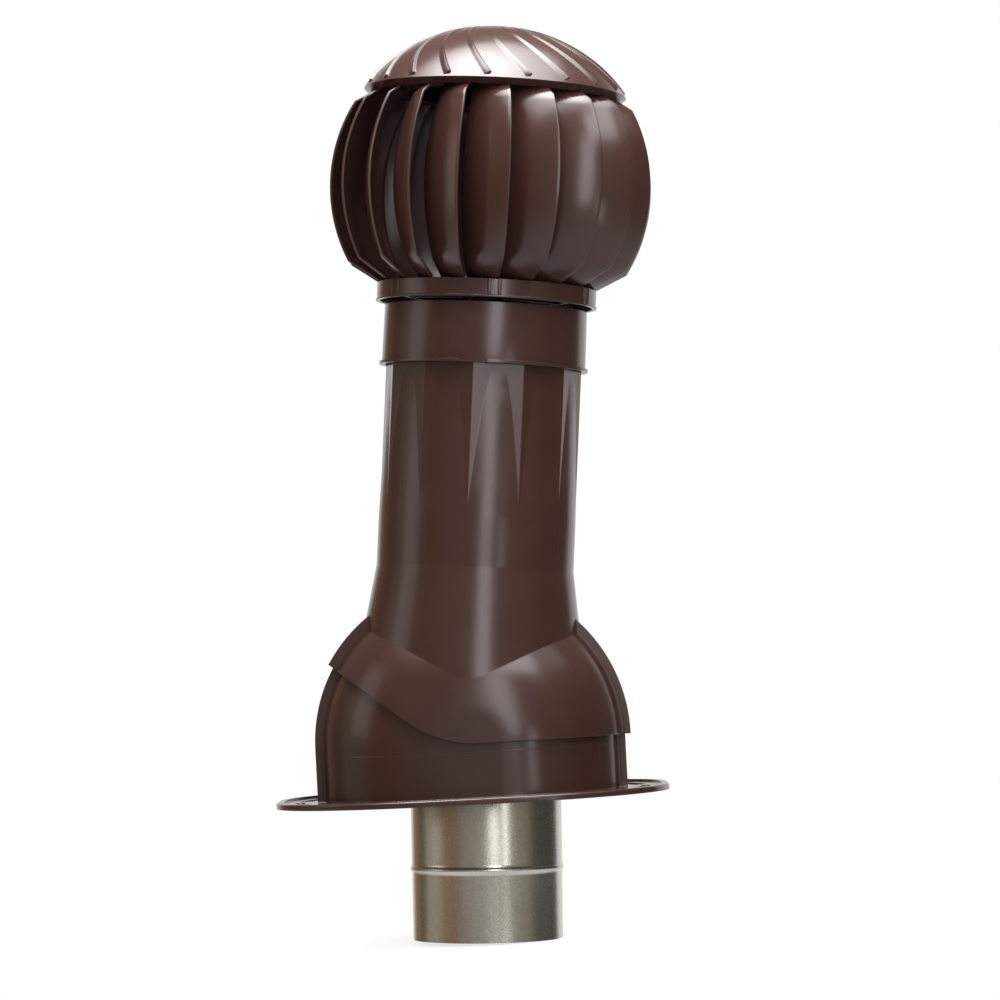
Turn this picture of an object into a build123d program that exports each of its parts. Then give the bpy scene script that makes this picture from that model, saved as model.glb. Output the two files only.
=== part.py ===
from build123d import *
import os
from math import asin, cos, degrees, radians, sin, tan

# A roof ventilator: a moulded flange with a rounded hump lies on the roof, a pipe with a
# round skirt swings on the hump to stand upright on a sloping roof, and a ball turbine of
# curved vanes spins on top of the pipe. All sizes are in mm and degrees.

# Fits
SEAT_GAP = 0.05         # radial room round a piece that is pushed into its seat
RUNNING_GAP = 0.05      # radial room of a bearing's inner ring
SLIDE_GAP = 0.5         # between the hump and the skirt that slides round it
LAP_GAP = 0.3           # room between thin mouldings that lie against each other
PAST = 5.0              # how far a cutting body runs past the face that it cuts
FRONT = -90.0           # the front lies at -Y
HALF_TURN = 180.0

# Inner duct: galvanised sheet, a standard 125 mm size
DUCT_RADIUS = 62.5
DUCT_WALL = 0.6
DUCT_SPIGOT = 117.0     # how far it reaches below the flange
DUCT_SHORT = 12.0       # how far its top stays below the pipe's top
SPIGOT_EASE = 0.25      # the spigot below the bead is this much smaller in radius
DUCT_LEAN = 2.0         # its lean from the flange's normal
DUCT_SHIFT = 10.5       # where its axis passes the flange's underside
BEAD_DROP = 58.0        # middle of the rolled bead below the flange's underside
BEAD_WIDTH = 6.0
BEAD_HEIGHT = 1.7

# Outer pipe: a twelve-sided moulding that turns round and then flared towards its foot
INSULATION = 13.5       # foam between duct and pipe
FOAM_GAP = 1.5          # between the foam's foot and the hump
FOAM_SHORT = 13.5       # and it ends this far below the pipe's top
PIPE_WALL = 3.0
PIPE_SIDES = 12
PIPE_TOP = 345.0        # heights along the pipe are measured from the hinge line
PIPE_LEAN = 5.4         # its lean from the flange's normal at rest
PIPE_OFFSET = -2.0      # its axis passes the hinge line on the low side
PIPE_TURN = -5.6        # one of its corners, seen from the front
ARCH_DROP = 25.0        # the round shoulder has sunk into the flat sides this far down
ARCH_SINK = 0.2         # how far under the flat sides it ends
ROUND_TOP = 183.0       # up to here the pipe is fully round
FLARE_TOP = 142.6
FLARE_FOOT = 50.0
FLARE_RATE = 0.15       # gain in radius for each mm down the flare

# Hump and skirt: one rounded form about the hinge line, the skirt outside the hump
HINGE_HEIGHT = 48.0     # hinge line above the flange's underside
HUMP_MARGIN = 49.3      # hump radius beyond the pipe's flats
CHEEK_MARGIN = 15.5     # half depth of the hump beyond the pipe's flats
CHEEK_FLAT = 25.0       # flat middle of the round cheeks
BAND_HALF = 18.0        # half width of the hump's outer band
LEDGE_DEPTH = 1.2       # small ledge along the band's edge
LEDGE_WIDTH = 5.0
BASE_WALL = 3.0
SKIRT_WALL = 4.0
SWING = 30.0            # travel of the pipe from rest
SKIRT_LAP = 1.0         # the skirt's low corner stays this many degrees above the hinge line
SKIRT_SLOPE = 37.5      # slope of its slanting lower edge
SKIRT_DROP = 1.0        # its level lower edge lies this far below the hinge line
SKIRT_ROUND = 90.0      # rounding between the two edges
OPENING_SPARE = 2.5     # degrees of room round the duct in the hump's top
OPENING_SIDE = 3.5      # sideways room round the duct there
OPENING_FOOT = 45.0     # the opening starts this far inside the hump's band

# Flange
FLANGE_END = 34.0       # beyond the hump, along its length
FLANGE_SIDE = 58.5      # beyond the hump, along its width
FLANGE_CORNER = 130.0
FLANGE_PLATE = 3.0
RIM_WIDTH = 6.0
RIM_HEIGHT = 5.0
RIM_ROUND = 1.8
SCREW_HOLE = 2.25       # radius of the four roof screw holes
SCREW_ALONG = 132.0     # their places from the middle
SCREW_ACROSS = 72.0
SLOT_EDGE = 18.5        # narrow fixing slots, this far inside the flange's ends
SLOT_WIDTH = 8.0
SLOT_FROM, SLOT_SPAN = -3.0, -15.0
WINDOW_EDGE = 21.5      # wide openings on the uphill side, likewise
WINDOW_WIDTH = 13.0
WINDOW_FROM, WINDOW_SPAN = 8.0, 18.0

# Collar on the pipe's top
COLLAR_LAP = 36.0       # how far it reaches down the pipe
COLLAR_RISE = 14.0      # and above the pipe's top
COLLAR_WALL = 2.8
COLLAR_TAPER = 0.6
LEDGE_HEIGHT = 3.0      # inner ledge that rests on the pipe's end
LEDGE_REACH = 10.0
LIP_REACH = 2.1
LIP_HEIGHT = 2.5
LIP_BREAK_COUNT = 3
LIP_BREAK_WIDTH = 23.0

# Fixed spider, axle and its hardware
AXLE_RADIUS = 4.0
SPIDER_ARM_COUNT = 4
SPIDER_PLATE = 3.0
SPIDER_ARM_WIDTH = 5.0
SPIDER_ARM_HEIGHT = 8.0
SPIDER_HUB_RADIUS = 12.0
SPIDER_HUB_DROP = 4.0
SCREW_SHANK = 1.5
SCREW_HEAD_RADIUS = 3.0
SCREW_HEAD_HEIGHT = 2.0
NUT_FLATS = 13.0
NUT_HEIGHT = 6.5
WASHER_RADIUS = 8.0
WASHER_THICK = 1.6
AXLE_END = 3.0          # thread left beyond a nut

# Sealed ball bearings, 8 x 22 x 7
BEARING_RADIUS = 11.0
BEARING_HEIGHT = 7.0
BEARING_INNER = 6.0     # outside of the inner ring

# Rotor
ROTOR_GAP = 3.0         # air gap between the collar and the rotor's lower ring
RING_LAP = 6.5          # the lower ring stands out this far beyond the collar
RING_HEIGHT = 15.0
RING_WALL = 3.0
RING_DEPTH = 23.0       # width of its top web
RING_INNER_DROP = 9.0
RING_LIP = 0.8
RING_LIP_HEIGHT = 1.6
STRAP_COUNT = 6
STRAP_TURN = 4.2
STRAP_RIB = 2.7         # each strap shows as two narrow ribs on the band
STRAP_PITCH = 8.7       # between the middles of the two
STRAP_PROUD = 0.6
ROTOR_HUB_WALL = 4.0
ROTOR_ARM_WIDTH = 6.0
ROTOR_ARM_HEIGHT = 8.0
HUB_SHOULDER = 2.0
FOOT_SPREAD = 25.7      # the vanes' feet spread this far out from the lower ring
CREASE_LATITUDE = 29.9  # where the vanes bend in, above and below the ball's middle
FOOT_HEIGHT = 15.6
FOOT_INSET = 1.4
VANE_COUNT = 20
VANE_TURN = 6.5         # outer edge of the first vane, seen from the front
VANE_THICK = 2.0
VANE_SWEEP = 19.3       # each vane runs this far round towards its inner edge
VANE_DEPTH = 29.0       # and this far in
VANE_FOOT_DEPTH = 18.0
VANE_BULGE = 3.5
VANE_SECTIONS = 7
SHOULDER_HEIGHT = 7.0
SHOULDER_INSET = 12.0
TAB_HEIGHT = 1.8        # tab of each vane that stands up to the upper ring
TAB_INSET = 6.0

# Dome cap
RIM_LATITUDE = 35.8
CAP_WALL = 2.5
CAP_LIP = 6.0           # slanting lip under the rim
CAP_LIP_DROP = 5.0
CAP_LIP_WALL = 2.0
RIB_INSET = 1.9         # degrees of latitude between the rim and a rib's outer end
RIB_TOP = 78.0          # latitude of its inner end
RIB_START = -2.2        # outer end of the first rib, seen from the front
RIB_TWIST = -30.0       # how far it turns about the axis on its way up
RIB_WIDTHS = (7.5, 2.0)     # at its outer and its inner end
RIB_HEIGHTS = (2.1, 0.3)
RIB_CREST = 0.75        # the crest's place across the width
RIB_ROOT = 0.4          # how far it is rooted in the dome
RIB_SECTIONS = 6
UPPER_RING_THICK = 3.0
UPPER_RING_DEPTH = 28.0
BOSS_RADIUS = 30.0
BOSS_DEPTH = 8.0
HUB_FLANGE = 3.0
HUB_WALL = 5.0
CAP_SCREW_COUNT = 3
CAP_SCREW_CIRCLE = 23.5
CAP_SCREW_BITE = 4.0

# Sizes that follow
pipe_flat = DUCT_RADIUS + INSULATION + PIPE_WALL
pipe_corner = pipe_flat / cos(radians(HALF_TURN / PIPE_SIDES))
pipe_round = pipe_corner + ARCH_SINK
pipe_bore = pipe_flat - PIPE_WALL
arch_top = PIPE_TOP - ARCH_DROP
duct_rise = HINGE_HEIGHT + PIPE_TOP - DUCT_SHORT
hump_radius = pipe_flat + HUMP_MARGIN
cheek_depth = pipe_flat + CHEEK_MARGIN
flange_half_length = hump_radius + FLANGE_END
flange_half_width = cheek_depth + FLANGE_SIDE
skirt_inside = SLIDE_GAP
skirt_outside = SLIDE_GAP + SKIRT_WALL
far = 3 * hump_radius

collar_bore = pipe_corner + LAP_GAP
collar_radius = collar_bore + COLLAR_WALL
collar_bottom = PIPE_TOP - COLLAR_LAP
collar_top = PIPE_TOP + COLLAR_RISE
ledge_top = PIPE_TOP + LEDGE_HEIGHT
spider_radius = collar_radius - COLLAR_TAPER - COLLAR_WALL - SEAT_GAP
spider_bore = pipe_bore - LEDGE_REACH + PIPE_WALL + LAP_GAP
spider_top = ledge_top + SPIDER_ARM_HEIGHT
spider_hub_bottom = ledge_top - SPIDER_HUB_DROP
spider_screw_circle = (spider_radius + spider_bore) / 2

lower_washer = spider_hub_bottom - WASHER_THICK
lower_nut = lower_washer - NUT_HEIGHT
upper_washer = spider_top
upper_nut = upper_washer + WASHER_THICK
lower_bearing = upper_nut + NUT_HEIGHT
axle_bottom = lower_nut - AXLE_END

ring_bottom = collar_top + ROTOR_GAP
ring_top = ring_bottom + RING_HEIGHT
ring_radius = collar_radius + RING_LAP
ring_bore = ring_radius - RING_DEPTH
crease_radius = ring_radius + FOOT_SPREAD
ball_radius = crease_radius / cos(radians(CREASE_LATITUDE))
ball_centre = ring_top + FOOT_HEIGHT + ball_radius * sin(radians(CREASE_LATITUDE))
lower_crease = ring_top + FOOT_HEIGHT
upper_crease = 2 * ball_centre - lower_crease
shoulder_top = upper_crease + SHOULDER_HEIGHT
vane_top = shoulder_top + TAB_HEIGHT
rim_height = ball_centre + ball_radius * sin(radians(RIM_LATITUDE))
rim_radius = ball_radius * cos(radians(RIM_LATITUDE))
cap_inside = ball_radius - CAP_WALL
boss_bottom = ball_centre + ball_radius - CAP_WALL - BOSS_DEPTH
hub_flange_bottom = boss_bottom - HUB_FLANGE
top_nut = hub_flange_bottom - NUT_HEIGHT
upper_bearing = top_nut - BEARING_HEIGHT
under_nut = upper_bearing - NUT_HEIGHT
axle_top = top_nut + NUT_HEIGHT + AXLE_END

# Places: the hinge line runs front to back through HINGE; the pipe and all that it carries
# are built upright about their own axis, with heights from the hinge line, and set by PIPE
HINGE = Pos(0, 0, HINGE_HEIGHT)
PIPE = HINGE * Rot(0, PIPE_LEAN, 0) * Pos(PIPE_OFFSET, 0, 0)
DUCT = Pos(DUCT_SHIFT, 0, 0) * Rot(0, DUCT_LEAN, 0)


def disc(radius, bottom, top):
    """Upright cylinder between two heights."""
    return Pos(0, 0, bottom) * extrude(Circle(radius), top - bottom)


def ring(radius, bore, bottom, top):
    """Upright tube between two heights."""
    return Pos(0, 0, bottom) * extrude(Circle(radius) - Circle(bore), top - bottom)


def turned(points):
    """Solid of revolution about the upright axis from (radius, height) corners."""
    return revolve(Plane.XZ * make_face(Polyline(*points, close=True)), Axis.Z)


def round_axle(body, count, start):
    """The same body at even turns about the upright axis."""
    return [Rot(0, 0, start + 360 * i / count) * body for i in range(count)]


def joined(bodies):
    """One solid from bodies that meet."""
    return bodies[0].fuse(*bodies[1:]) if len(bodies) > 1 else bodies[0]


def cheek_profile(grow):
    """Half section of the hump, radius along X and depth along Y, grown outward by a gap."""
    depth = cheek_depth + grow
    band = BAND_HALF + grow
    radius = hump_radius + grow
    ledge = band + LEDGE_DEPTH
    reach = radius - LEDGE_WIDTH - CHEEK_FLAT
    bend = degrees(asin(ledge / depth))
    foot = CHEEK_FLAT + reach * cos(radians(bend))
    middle = (CHEEK_FLAT, 0)
    front = EllipticalCenterArc(middle, reach, depth, FRONT, arc_size=-FRONT - bend)
    edges = [
        Line((0, depth), (0, -depth)),
        Line((0, -depth), (CHEEK_FLAT, -depth)),
        front,
        Polyline(
            (foot, -ledge),
            (radius - LEDGE_WIDTH, -ledge),
            (radius - LEDGE_WIDTH, -band),
            (radius, -band),
            (radius, band),
            (radius - LEDGE_WIDTH, band),
            (radius - LEDGE_WIDTH, ledge),
            (foot, ledge),
        ),
        mirror(front, Plane.XZ),
        Line((CHEEK_FLAT, depth), (0, depth)),
    ]
    return make_face(edges)


def cheek_body(grow, drop):
    """The rounded form about the hinge line: half a turn above it, straight walls below."""
    half = cheek_profile(grow)
    dome = revolve(half, Axis((0, 0, 0), (0, -1, 0)), HALF_TURN)
    foot = extrude(half, drop, dir=(0, 0, -1))
    return dome + foot + mirror(foot, Plane.YZ)


def hump_opening():
    """The way through the hump's top for the duct, over the whole swing of the pipe."""
    reach = hump_radius - BASE_WALL
    offset = DUCT_SHIFT + HINGE_HEIGHT * tan(radians(DUCT_LEAN))
    start = -FRONT - DUCT_LEAN - degrees(asin((DUCT_RADIUS + offset) / reach)) - OPENING_SPARE
    end = -FRONT - DUCT_LEAN + degrees(asin((DUCT_RADIUS - offset) / reach)) + OPENING_SPARE
    inner = hump_radius - OPENING_FOOT
    window = Rectangle(hump_radius + PAST - inner, 2 * (DUCT_RADIUS + OPENING_SIDE))
    window = Pos((hump_radius + PAST + inner) / 2, 0) * window
    sector = revolve(window, Axis((0, 0, 0), (0, -1, 0)), end + SWING - start)
    return Rot(0, -start, 0) * sector


def flange_base():
    """Flange plate with its raised rim, holes and slots, and the hollow hump on it."""
    outline = RectangleRounded(2 * flange_half_length, 2 * flange_half_width, FLANGE_CORNER)
    inset = RectangleRounded(
        2 * (flange_half_length - RIM_WIDTH),
        2 * (flange_half_width - RIM_WIDTH),
        FLANGE_CORNER - RIM_WIDTH,
    )
    plate = extrude(outline, RIM_HEIGHT)
    plate = fillet(plate.faces().sort_by(Axis.Z)[-1].edges(), RIM_ROUND)
    plate -= Pos(0, 0, FLANGE_PLATE) * extrude(inset, RIM_HEIGHT)
    holes = Sketch()
    for mirrored in (False, True):
        slot_arc = CenterArc((0, 0), flange_half_length - SLOT_EDGE, SLOT_FROM, SLOT_SPAN)
        window_arc = CenterArc((0, 0), flange_half_length - WINDOW_EDGE, WINDOW_FROM, WINDOW_SPAN)
        slot, window = SlotArc(slot_arc, SLOT_WIDTH), SlotArc(window_arc, WINDOW_WIDTH)
        if mirrored:
            slot, window = mirror(slot, Plane.YZ), mirror(window, Plane.YZ)
        holes = holes + slot + window
    for x in (-SCREW_ALONG, SCREW_ALONG):
        for y in (-SCREW_ACROSS, SCREW_ACROSS):
            holes = holes + Pos(x, y) * Circle(SCREW_HOLE)
    plate -= Pos(0, 0, -PAST) * extrude(holes, FLANGE_PLATE + 2 * PAST)
    body = plate + HINGE * cheek_body(0, HINGE_HEIGHT)
    body -= HINGE * cheek_body(-BASE_WALL, HINGE_HEIGHT + PAST)
    return body - HINGE * hump_opening()


def under_skirt():
    """All that lies below the skirt's lower edge: level in front of the hinge line's right,
    then rounded up to the slanting edge on its left."""
    skirt_radius = hump_radius + skirt_outside
    low = radians(SWING + SKIRT_LAP)
    corner_x, corner_z = -skirt_radius * cos(low), skirt_radius * sin(low)
    run = tan(radians(SKIRT_SLOPE))
    bend_x = corner_x + (corner_z + SKIRT_DROP) / run
    end_x = corner_x - hump_radius
    end_z = corner_z + hump_radius * run
    edge = FilletPolyline(
        (far, -SKIRT_DROP), (bend_x, -SKIRT_DROP), (end_x, end_z), radius=SKIRT_ROUND
    )
    rest = Polyline((end_x, end_z), (-far, end_z), (-far, -far), (far, -far), (far, -SKIRT_DROP))
    return extrude(Plane.XZ * make_face([edge, rest]), far, both=True)


def pipe_form():
    """Outside of the pipe: flared foot, round middle, and flat sides that rise out of it."""
    flare = pipe_round + (FLARE_TOP - FLARE_FOOT) * FLARE_RATE
    core = turned(
        [
            (0, FLARE_FOOT),
            (flare, FLARE_FOOT),
            (pipe_round, FLARE_TOP),
            (pipe_round, ROUND_TOP),
            (pipe_flat - ARCH_SINK, arch_top),
            (0, arch_top),
        ]
    )
    sides = RegularPolygon(pipe_corner, PIPE_SIDES, rotation=FRONT + PIPE_TURN)
    return core + Pos(0, 0, FLARE_TOP) * extrude(sides, PIPE_TOP - FLARE_TOP)


def pipe_hollow():
    """Inside of the pipe, down into the skirt."""
    flare = pipe_round - PIPE_WALL + (FLARE_TOP - FLARE_FOOT) * FLARE_RATE
    return turned(
        [
            (0, FLARE_FOOT),
            (flare, FLARE_FOOT),
            (pipe_round - PIPE_WALL, FLARE_TOP),
            (pipe_bore, ROUND_TOP),
            (pipe_bore, PIPE_TOP + PAST),
            (0, PIPE_TOP + PAST),
        ]
    )


def outer_pipe():
    """Pipe and skirt, one moulding."""
    drop = 2 * SKIRT_DROP
    form = HINGE * cheek_body(skirt_outside, drop) + PIPE * pipe_form()
    form -= HINGE * cheek_body(skirt_inside, drop + PAST)
    form -= PIPE * pipe_hollow()
    return form - HINGE * under_skirt()


def duct_wall(radius, bulge):
    """Half section line of the duct from its foot to its top, with the rolled bead."""
    low, high = -BEAD_DROP - BEAD_WIDTH / 2, -BEAD_DROP + BEAD_WIDTH / 2
    spigot = radius - SPIGOT_EASE
    return [
        Line((spigot, -DUCT_SPIGOT), (spigot, low)),
        ThreePointArc((spigot, low), (radius + bulge, -BEAD_DROP), (radius, high)),
        Line((radius, high), (radius, duct_rise)),
    ]


def inner_duct():
    """Sheet duct with one rolled bead."""
    bore = DUCT_RADIUS - DUCT_WALL
    ends = [
        Line((bore - SPIGOT_EASE, -DUCT_SPIGOT), (DUCT_RADIUS - SPIGOT_EASE, -DUCT_SPIGOT)),
        Line((bore, duct_rise), (DUCT_RADIUS, duct_rise)),
    ]
    section = make_face(duct_wall(DUCT_RADIUS, BEAD_HEIGHT) + duct_wall(bore, BEAD_HEIGHT) + ends)
    return DUCT * revolve(Plane.XZ * section, Axis.Z)


def insulation_sleeve():
    """Foam between the duct and the pipe, from above the hump to near the pipe's top."""
    foam = disc(pipe_bore - SEAT_GAP, hump_radius + FOAM_GAP, PIPE_TOP - FOAM_SHORT)
    hole = disc(DUCT_RADIUS + SEAT_GAP, 0, HINGE_HEIGHT + PIPE_TOP)
    return PIPE * foam - DUCT * hole


def turbine_collar():
    """Tapered collar over the pipe's end, with an inner ledge and a broken bottom lip."""
    top_radius = collar_radius - COLLAR_TAPER
    body = turned(
        [
            (collar_bore, collar_bottom),
            (collar_radius, collar_bottom),
            (top_radius, collar_top),
            (spider_radius + SEAT_GAP, collar_top),
            (spider_radius + SEAT_GAP, ledge_top),
            (spider_bore, ledge_top),
            (spider_bore, PIPE_TOP),
            (collar_bore, PIPE_TOP),
        ]
    )
    lip_radius = collar_radius + LIP_REACH
    lip = ring(lip_radius, collar_bore, collar_bottom, collar_bottom + LIP_HEIGHT)
    gap = Pos(lip_radius + collar_radius, 0) * Rectangle(2 * lip_radius, LIP_BREAK_WIDTH)
    for cut in round_axle(gap, LIP_BREAK_COUNT, FRONT + PIPE_TURN):
        window = cut - Circle(collar_radius)
        lip -= Pos(0, 0, collar_bottom - PAST) * extrude(window, LIP_HEIGHT + 2 * PAST)
    body += lip
    hole = Pos(spider_screw_circle, 0) * disc(SCREW_SHANK + SEAT_GAP, PIPE_TOP, ledge_top + PAST)
    for cut in round_axle(hole, SPIDER_ARM_COUNT, HALF_TURN / SPIDER_ARM_COUNT):
        body -= cut
    return PIPE * body


def bearing_spider():
    """Fixed spider on the collar's ledge: rim, arms and the hub that holds the axle."""
    rim = ring(spider_radius, spider_bore, ledge_top, ledge_top + SPIDER_PLATE)
    hub = disc(SPIDER_HUB_RADIUS, spider_hub_bottom, spider_top)
    reach = spider_bore + LAP_GAP
    bar = Pos(reach / 2, 0, (ledge_top + spider_top) / 2)
    arm = bar * Box(reach, SPIDER_ARM_WIDTH, SPIDER_ARM_HEIGHT)
    body = joined([rim, hub, *round_axle(arm, SPIDER_ARM_COUNT, 0)])
    body -= disc(AXLE_RADIUS + SEAT_GAP, spider_hub_bottom - PAST, spider_top + PAST)
    hole = Pos(spider_screw_circle, 0) * disc(SCREW_SHANK + SEAT_GAP, PIPE_TOP, spider_top)
    for cut in round_axle(hole, SPIDER_ARM_COUNT, HALF_TURN / SPIDER_ARM_COUNT):
        body -= cut
    return PIPE * body


def screw(seat, tip):
    """Pan head screw between its head's seat and its tip, either way up."""
    away = 1 if seat > tip else -1
    head_end = seat + away * SCREW_HEAD_HEIGHT
    head = disc(SCREW_HEAD_RADIUS, min(seat, head_end), max(seat, head_end))
    return head + disc(SCREW_SHANK, min(seat, tip), max(seat, tip))


def spider_screws():
    """Screws that hold the spider on the ledge, between its arms."""
    one = Pos(spider_screw_circle, 0) * screw(ledge_top + SPIDER_PLATE, PIPE_TOP + LAP_GAP)
    return PIPE * Compound(children=round_axle(one, SPIDER_ARM_COUNT, HALF_TURN / SPIDER_ARM_COUNT))


def axle():
    """Threaded steel rod, fixed in the spider and reaching up into the cap."""
    return PIPE * disc(AXLE_RADIUS, axle_bottom, axle_top)


def nut(bottom):
    """Hexagon nut on the axle."""
    flats = RegularPolygon(NUT_FLATS / 2, 6, major_radius=False)
    return Pos(0, 0, bottom) * extrude(flats - Circle(AXLE_RADIUS + SEAT_GAP), NUT_HEIGHT)


def axle_nuts():
    """Two nuts that clamp the spider's hub and two that clamp the upper bearing."""
    heights = (lower_nut, upper_nut, under_nut, top_nut)
    return PIPE * Compound(children=[nut(height) for height in heights])


def axle_washers():
    """Washers on both sides of the spider's hub."""
    bore = AXLE_RADIUS + SEAT_GAP
    heights = (lower_washer, upper_washer)
    rings = [ring(WASHER_RADIUS, bore, low, low + WASHER_THICK) for low in heights]
    return PIPE * Compound(children=rings)


def bearing_inner(bottom):
    """Inner ring of a sealed bearing, on the axle."""
    return PIPE * ring(BEARING_INNER, AXLE_RADIUS + SEAT_GAP, bottom, bottom + BEARING_HEIGHT)


def bearing_outer(bottom):
    """Outer ring of a sealed bearing with its shields; what they hide is left solid."""
    bore = BEARING_INNER + RUNNING_GAP
    return PIPE * ring(BEARING_RADIUS, bore, bottom, bottom + BEARING_HEIGHT)


def lower_ring():
    """Channel ring that carries the vanes' feet, with straps over its outer band."""
    body = ring(ring_radius, ring_radius - RING_WALL, ring_bottom, ring_top)
    body += ring(ring_radius, ring_bore, ring_top - RING_WALL, ring_top)
    body += ring(ring_bore + RING_WALL, ring_bore, ring_top - RING_INNER_DROP, ring_top)
    lip = ring_radius + RING_LIP
    body += ring(lip, ring_radius - RING_WALL, ring_bottom, ring_bottom + RING_LIP_HEIGHT)
    reach = Pos(ring_radius, 0, (ring_bottom + ring_top) / 2)
    bar = reach * Box(RING_WALL, STRAP_RIB, RING_HEIGHT)
    bar &= disc(ring_radius + STRAP_PROUD, ring_bottom, ring_top)
    for side in (-1, 1):
        aside = degrees(asin(side * STRAP_PITCH / 2 / ring_radius))
        body = joined([body, *round_axle(bar, STRAP_COUNT, FRONT + STRAP_TURN + aside)])
    return PIPE * body


def rotor_spider():
    """Arms from the lower ring to the hub that holds the lower bearing."""
    hub_radius = BEARING_RADIUS + ROTOR_HUB_WALL
    hub_top = lower_bearing + BEARING_HEIGHT + HUB_SHOULDER
    hub = disc(hub_radius, lower_bearing, hub_top)
    reach = ring_bore - SEAT_GAP
    arm_top = ring_top - LAP_GAP
    bar = Pos(reach / 2, 0, arm_top - ROTOR_ARM_HEIGHT / 2)
    arm = bar * Box(reach, ROTOR_ARM_WIDTH, ROTOR_ARM_HEIGHT)
    arm &= disc(reach, ring_bottom, ring_top)
    body = joined([hub, *round_axle(arm, STRAP_COUNT, FRONT + STRAP_TURN)])
    seat = disc(BEARING_RADIUS + SEAT_GAP, ring_bottom - PAST, lower_bearing + BEARING_HEIGHT)
    throat = disc(BEARING_INNER + HUB_SHOULDER, ring_bottom, ring_top + PAST)
    return PIPE * (body - seat - throat)


def vane_section(height, outer, depth):
    """Plan of a vane at one height: a curved strip from its outer edge to its inner edge."""
    sweep = radians(VANE_SWEEP)
    tip = Vector(outer, 0, height)
    root = Vector((outer - depth) * cos(sweep), -(outer - depth) * sin(sweep), height)
    chord = (root - tip).normalized()
    outward = Vector(-chord.Y, chord.X, 0)
    middle = (tip + root) * 0.5 + outward * VANE_BULGE
    inward = outward * -VANE_THICK
    edges = [
        ThreePointArc(tip, middle, root),
        Line(root, root + inward),
        ThreePointArc(root + inward, middle + inward, tip + inward),
        Line(tip + inward, tip),
    ]
    return make_face(edges)


def vane_shape():
    """One vane: foot bent in to the lower ring, blade on the ball, shoulder under the cap."""
    foot_radius = ring_radius - FOOT_INSET
    foot = vane_section(ring_top, foot_radius, VANE_FOOT_DEPTH)
    blade = []
    for i in range(VANE_SECTIONS):
        latitude = radians(CREASE_LATITUDE * (2 * i / (VANE_SECTIONS - 1) - 1))
        height = ball_centre + ball_radius * sin(latitude)
        blade.append(vane_section(height, ball_radius * cos(latitude), VANE_DEPTH))
    shoulder_radius = crease_radius - SHOULDER_INSET
    shoulder_depth = VANE_DEPTH - SHOULDER_INSET / 2
    shoulder = vane_section(shoulder_top, shoulder_radius, shoulder_depth)
    body = loft([foot, blade[0]], ruled=True) + loft(blade) + loft([blade[-1], shoulder], ruled=True)
    tab = extrude(shoulder, TAB_HEIGHT, dir=(0, 0, 1))
    return body + (tab & disc(shoulder_radius - TAB_INSET, shoulder_top, vane_top))


def upper_ring():
    """Flat ring inside the cap's rim that the vanes' tabs stand against."""
    outer = rim_radius - CAP_LIP - CAP_LIP_WALL - LAP_GAP
    return PIPE * ring(outer, outer - UPPER_RING_DEPTH, vane_top, vane_top + UPPER_RING_THICK)


def on_dome(latitude, turn):
    """Point of the dome, with angles in degrees."""
    level = ball_radius * cos(radians(latitude))
    return Vector(
        level * cos(radians(turn)),
        level * sin(radians(turn)),
        ball_centre + ball_radius * sin(radians(latitude)),
    )


def cap_rib():
    """One rib of the dome: a wedge that winds up from the rim, lower and narrower as it goes."""
    low = RIM_LATITUDE + RIB_INSET
    step = 0.5 / RIB_SECTIONS
    sections = []
    for i in range(RIB_SECTIONS):
        t = i / (RIB_SECTIONS - 1)
        latitude, turn = low + t * (RIB_TOP - low), t * RIB_TWIST
        spot = on_dome(latitude, turn)
        along = on_dome(latitude + step * (RIB_TOP - low), turn + step * RIB_TWIST) - spot
        out = (spot - Vector(0, 0, ball_centre)).normalized()
        width = RIB_WIDTHS[0] + t * (RIB_WIDTHS[1] - RIB_WIDTHS[0])
        height = RIB_HEIGHTS[0] + t * (RIB_HEIGHTS[1] - RIB_HEIGHTS[0])
        wedge = Polyline(
            (-RIB_CREST * width, -RIB_ROOT),
            (0, height),
            ((1 - RIB_CREST) * width, -RIB_ROOT),
            close=True,
        )
        sections.append(Plane(spot, x_dir=along.cross(out), z_dir=-along) * make_face(wedge))
    return loft(sections)


def dome_cap():
    """Dome of the ball's own curve, with wedge ribs, a slanting lip and a boss inside."""
    above = Pos(0, 0, rim_height) * extrude(Rectangle(far, far), far)
    at_centre = Pos(0, 0, ball_centre)
    shell = (at_centre * Sphere(ball_radius)) & above
    inside = (at_centre * Sphere(cap_inside)) & above
    boss = disc(BOSS_RADIUS, boss_bottom, ball_centre + ball_radius)
    shell = shell - (inside - boss)
    inner = rim_radius - CAP_WALL / cos(radians(RIM_LATITUDE))
    lip = turned(
        [
            (rim_radius, rim_height),
            (rim_radius - CAP_LIP, rim_height - CAP_LIP_DROP),
            (rim_radius - CAP_LIP - CAP_LIP_WALL, rim_height - CAP_LIP_DROP),
            (inner - CAP_LIP_WALL, rim_height),
        ]
    )
    body = joined([shell + lip, *round_axle(cap_rib(), VANE_COUNT, FRONT + RIB_START)])
    bottom = boss_bottom - PAST
    body -= disc(WASHER_RADIUS + HUB_SHOULDER, bottom, axle_top + AXLE_END)
    tip = boss_bottom + CAP_SCREW_BITE + LAP_GAP
    hole = Pos(CAP_SCREW_CIRCLE, 0) * disc(SCREW_SHANK + SEAT_GAP, bottom, tip)
    for cut in round_axle(hole, CAP_SCREW_COUNT, 0):
        body -= cut
    return PIPE * body


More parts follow.
